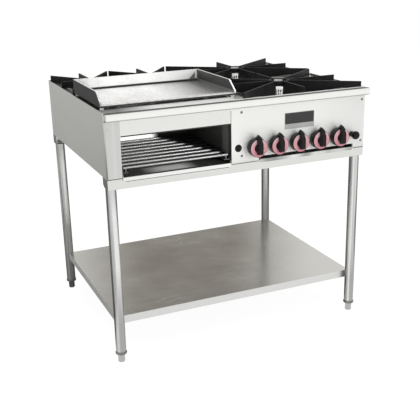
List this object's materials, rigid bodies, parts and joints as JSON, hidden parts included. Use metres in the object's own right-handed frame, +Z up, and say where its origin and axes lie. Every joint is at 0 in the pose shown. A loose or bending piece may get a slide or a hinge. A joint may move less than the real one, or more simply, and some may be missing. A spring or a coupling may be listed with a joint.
{
  "type": "commercial range with griddle",
  "caption": "Free-standing gas range with open burners, and a griddle over an open broiler with a pull-out rack, on tubular legs with a lower shelf.",
  "frame": {"origin": "centre of the footprint, on the floor", "axes": "+Z up, the controls face -Y, +X to the right seen from the front"},
  "size_m": [1.0448, 0.906, 1.003],
  "materials": {
    "leg_steel": "drawn stainless tube",
    "foot_steel": "turned steel",
    "shelf_steel": "satin sheet",
    "body_steel": "brushed stainless sheet",
    "screw_steel": "polished",
    "black_plug": "moulded",
    "broiler_steel": "dull aluminised sheet",
    "rack_chrome": "chromed wire",
    "tray_steel": "dull sheet",
    "griddle_steel": "ground steel plate",
    "burner_iron": "as cast",
    "tube_steel": "dark steel tube",
    "grate_iron": "matte black enamel",
    "black_pipe": "black pipe",
    "valve_brass": "machined",
    "feed_aluminium": "drawn tube",
    "knob_black": "moulded",
    "knob_ring_red": "printed insert"
  },
  "bodies": {
    "range_body": {"front_legs": "leg_steel", "rear_legs": "leg_steel", "lower_shelf": "shelf_steel", "shelf_stiffeners": "shelf_steel", "front_base_channel": "body_steel", "rear_base_channel": "body_steel", "left_side_panel": "body_steel", "right_side_panel": "body_steel", "rear_panel": "body_steel", "front_nose_rail": "body_steel", "broiler_header": "body_steel", "control_panel": "body_steel", "front_screws": "screw_steel", "hole_plug": "black_plug", "deck_front_ledge": "body_steel", "deck_rear_ledge": "body_steel", "deck_side_ledges": "body_steel", "deck_cross_rail": "body_steel", "deck_long_rails": "body_steel", "broiler_chamber": "broiler_steel", "rack_runners": "broiler_steel", "tray_runners": "broiler_steel", "griddle_burner": "tube_steel", "burner_supports": "broiler_steel", "burner_front_right": "burner_iron", "burner_rear_right": "burner_iron", "burner_rear_middle": "burner_iron", "burner_rear_left": "burner_iron", "manifold_pipe": "black_pipe", "gas_valves": "valve_brass", "gas_inlet_pipe": "black_pipe", "feed_tubes": "feed_aluminium"},
    "foot_front_left": {"foot_front_left": "foot_steel"},
    "foot_front_right": {"foot_front_right": "foot_steel"},
    "foot_rear_left": {"foot_rear_left": "foot_steel"},
    "foot_rear_right": {"foot_rear_right": "foot_steel"},
    "griddle_body": {"griddle": "griddle_steel"},
    "grate_front_right": {"grate_front_right": "grate_iron"},
    "grate_rear_right": {"grate_rear_right": "grate_iron"},
    "grate_rear_middle": {"grate_rear_middle": "grate_iron"},
    "grate_rear_left": {"grate_rear_left": "grate_iron"},
    "rack": {"broiler_rack": "rack_chrome"},
    "broiler_tray": {"broiler_drip_tray": "tray_steel"},
    "burner_tray": {"burner_drip_tray": "tray_steel"},
    "pilot_knob": {"pilot_knob": "knob_black"},
    "knob_1": {"knob_1": "knob_black", "knob_ring_1": "knob_ring_red", "valve_stem_1": "valve_brass"},
    "knob_2": {"knob_2": "knob_black", "knob_ring_2": "knob_ring_red", "valve_stem_2": "valve_brass"},
    "knob_3": {"knob_3": "knob_black", "knob_ring_3": "knob_ring_red", "valve_stem_3": "valve_brass"},
    "knob_4": {"knob_4": "knob_black", "knob_ring_4": "knob_ring_red", "valve_stem_4": "valve_brass"},
    "knob_5": {"knob_5": "knob_black", "knob_ring_5": "knob_ring_red", "valve_stem_5": "valve_brass"}
  },
  "joints": [
    {"name": "knob_1_turn", "type": "hinge", "parent": "range_body", "child": "knob_1", "pos_m": [0.044, -0.397, 0.769], "axis": [0, -1, 0], "range_deg": [0, 90]},
    {"name": "knob_2_turn", "type": "hinge", "parent": "range_body", "child": "knob_2", "pos_m": [0.132, -0.397, 0.769], "axis": [0, -1, 0], "range_deg": [0, 90]},
    {"name": "knob_3_turn", "type": "hinge", "parent": "range_body", "child": "knob_3", "pos_m": [0.22, -0.397, 0.769], "axis": [0, -1, 0], "range_deg": [0, 90]},
    {"name": "knob_4_turn", "type": "hinge", "parent": "range_body", "child": "knob_4", "pos_m": [0.308, -0.397, 0.769], "axis": [0, -1, 0], "range_deg": [0, 90]},
    {"name": "knob_5_turn", "type": "hinge", "parent": "range_body", "child": "knob_5", "pos_m": [0.396, -0.397, 0.769], "axis": [0, -1, 0], "range_deg": [0, 90]},
    {"name": "pilot_knob_turn", "type": "hinge", "parent": "range_body", "child": "pilot_knob", "pos_m": [0.464, -0.397, 0.769], "axis": [0, -1, 0], "range_deg": [0, 90]},
    {"name": "rack_slide", "type": "slide", "parent": "range_body", "child": "rack", "axis": [0, -1, 0], "range_m": [0, 0.3]},
    {"name": "broiler_tray_slide", "type": "slide", "parent": "range_body", "child": "broiler_tray", "axis": [0, -1, 0], "range_m": [0, 0.3]},
    {"name": "burner_tray_slide", "type": "slide", "parent": "range_body", "child": "burner_tray", "axis": [0, -1, 0], "range_m": [0, 0.45]},
    {"name": "griddle_lift", "type": "slide", "parent": "range_body", "child": "griddle_body", "axis": [0, 0, 1], "range_m": [0, 0.12]},
    {"name": "grate_front_right_lift", "type": "slide", "parent": "range_body", "child": "grate_front_right", "axis": [0, 0, 1], "range_m": [0, 0.1]},
    {"name": "grate_rear_right_lift", "type": "slide", "parent": "range_body", "child": "grate_rear_right", "axis": [0, 0, 1], "range_m": [0, 0.1]},
    {"name": "grate_rear_middle_lift", "type": "slide", "parent": "range_body", "child": "grate_rear_middle", "axis": [0, 0, 1], "range_m": [0, 0.1]},
    {"name": "grate_rear_left_lift", "type": "slide", "parent": "range_body", "child": "grate_rear_left", "axis": [0, 0, 1], "range_m": [0, 0.1]},
    {"name": "foot_front_left_turn", "type": "hinge", "parent": "range_body", "child": "foot_front_left", "pos_m": [-0.50095, -0.366, 0.033], "axis": [0, 0, 1], "range_deg": [-180, 180]},
    {"name": "foot_front_right_turn", "type": "hinge", "parent": "range_body", "child": "foot_front_right", "pos_m": [0.50095, -0.366, 0.033], "axis": [0, 0, 1], "range_deg": [-180, 180]},
    {"name": "foot_rear_left_turn", "type": "hinge", "parent": "range_body", "child": "foot_rear_left", "pos_m": [-0.50095, 0.388, 0.033], "axis": [0, 0, 1], "range_deg": [-180, 180]},
    {"name": "foot_rear_right_turn", "type": "hinge", "parent": "range_body", "child": "foot_rear_right", "pos_m": [0.50095, 0.388, 0.033], "axis": [0, 0, 1], "range_deg": [-180, 180]}
  ]
}
